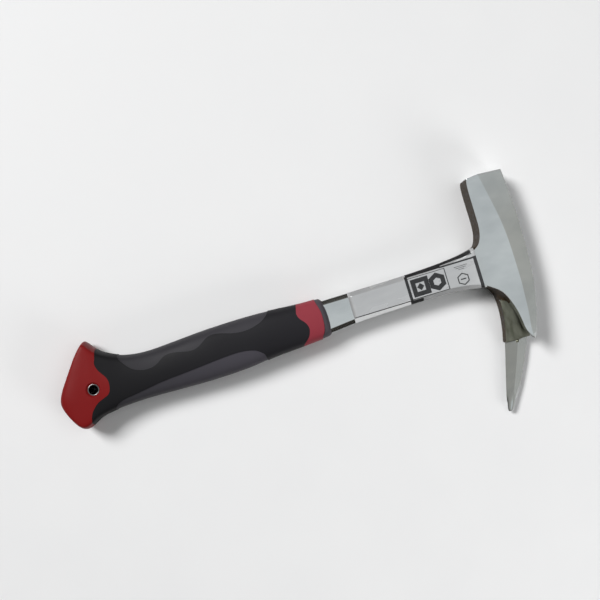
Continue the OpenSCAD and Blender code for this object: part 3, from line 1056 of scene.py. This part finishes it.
# %% [markdown]
# ## Stage, lights and camera
# The tool lies on a plain pale table and is seen from straight above, turned a little, so the
# handle rises to the right.

# %% Table
table_side = 6.0
bpy.ops.mesh.primitive_plane_add(size=table_side, location=(0, 0, 0))
floor = bpy.context.object
floor.name = "floor"
table_finish = Finish("table")
paper = table_finish.noise(60)
table_finish.colour(table_finish.between(paper, (0.78, 0.78, 0.785), (0.82, 0.82, 0.82)))
table_finish.roughness(table_finish.spread(paper, 0.6, 0.7))
paint(floor, table_finish)
print("Table:", table_side, "m square")

# %% [markdown]
# Polished steel shows the room round it, so the room makes it read as steel. This room is bright
# overhead and towards the head, and dark near the rest of the horizon: flat faces show the
# bright part and bevels the dark part.
# The same room would light the rubber too strongly and wash out the shadow, so only mirror
# rays see it at full strength. Beyond the table's edge the camera sees a plain pale backdrop.

# %% Room
soft_light = 0.13
mirror_light = 1.0
backdrop_light = (5.75, 5.75, 5.75, 1)
world = bpy.data.worlds.new("studio")
bpy.context.scene.world = world
world.use_nodes = True
room = world.node_tree
direction = room.nodes.new("ShaderNodeTexCoord").outputs["Generated"]
brighter = room.nodes.new("ShaderNodeMath")
brighter.operation = "MAXIMUM"
for slot_number, lean in enumerate([(0.10, 0, 1), (0.72, 0, 0)]):
    part = room.nodes.new("ShaderNodeVectorMath")
    part.operation = "DOT_PRODUCT"
    part.inputs[1].default_value = lean
    room.links.new(direction, part.inputs[0])
    room.links.new(part.outputs["Value"], brighter.inputs[slot_number])
ramp = room.nodes.new("ShaderNodeValToRGB")
room.links.new(brighter.outputs[0], ramp.inputs[0])
stops = ramp.color_ramp.elements
stops[0].position, stops[0].color = 0.0, (0.02, 0.018, 0.015, 1)
stops[1].position, stops[1].color = 1.0, (0.76, 0.80, 0.82, 1)
for position, colour in [(0.25, (0.05, 0.045, 0.04)), (0.37, (0.34, 0.335, 0.31)),
                         (0.65, (0.56, 0.565, 0.54)), (0.85, (0.72, 0.75, 0.76))]:
    stops.new(position).color = (*colour, 1)
background = room.nodes["Background"]
ray = room.nodes.new("ShaderNodeLightPath").outputs
backdrop = room.nodes.new("ShaderNodeMix")
backdrop.data_type = "RGBA"
backdrop.inputs[second_colour].default_value = backdrop_light
room.links.new(ray["Is Camera Ray"], backdrop.inputs["Factor"])
room.links.new(ramp.outputs["Color"], backdrop.inputs[first_colour])
room.links.new(backdrop.outputs[mixed_colour], background.inputs["Color"])
level = room.nodes.new("ShaderNodeMapRange")
room.links.new(ray["Is Glossy Ray"], level.inputs["Value"])
level.inputs["To Min"].default_value = soft_light
level.inputs["To Max"].default_value = mirror_light
room.links.new(level.outputs["Result"], background.inputs["Strength"])
print("Room ramp stops:", [round(stop.position, 2) for stop in stops])

# %% [markdown]
# The main light comes from the upper left, so the shadow falls softly to the lower right. Two
# weaker boxes on the head's side lift the darker sides of the hammer. They are hidden from
# mirror rays, because a square patch of light in the cheek would look like a hole in the steel.

# %% Lights
def soft_box(name, location, target, size, power, glossy=True):
    data = bpy.data.lights.new(name, "AREA")
    data.shape = "SQUARE"
    data.size = size
    data.energy = power
    light = bpy.data.objects.new(name, data)
    bpy.context.scene.collection.objects.link(light)
    light.location = location
    aim = Vector(target) - Vector(location)
    light.rotation_euler = aim.to_track_quat("-Z", "Y").to_euler()
    light.visible_glossy = glossy


soft_box("key", (-1.75, 1.85, 2.8), (-0.14, 0, 0), 1.2, 134)
soft_box("over", (0.45, 0.05, 1.25), (-0.05, 0, 0), 0.8, 3, glossy=False)
soft_box("fill", (0.45, -0.75, 0.42), (-0.1, 0, 0), 0.4, 3.2, glossy=False)

# %% [markdown]
# The camera looks straight down from a bit more than half a metre, which shows a little of the
# head's inner wall. A longer lens from further away would hide it.

# %% Camera
camera_place = (-0.142, 0.015, 0.675)
camera_turn = -17
sensor = 36
lens = 58.2
camera_data = bpy.data.cameras.new("camera")
camera_data.sensor_width = sensor
camera_data.lens = lens
camera = bpy.data.objects.new("camera", camera_data)
bpy.context.scene.collection.objects.link(camera)
camera.location = camera_place
camera.rotation_euler = (0, 0, math.radians(camera_turn))
bpy.context.scene.camera = camera
bpy.context.scene.view_settings.view_transform = "Standard"
print("Camera at", camera_place, "m, turned", camera_turn, "degrees")
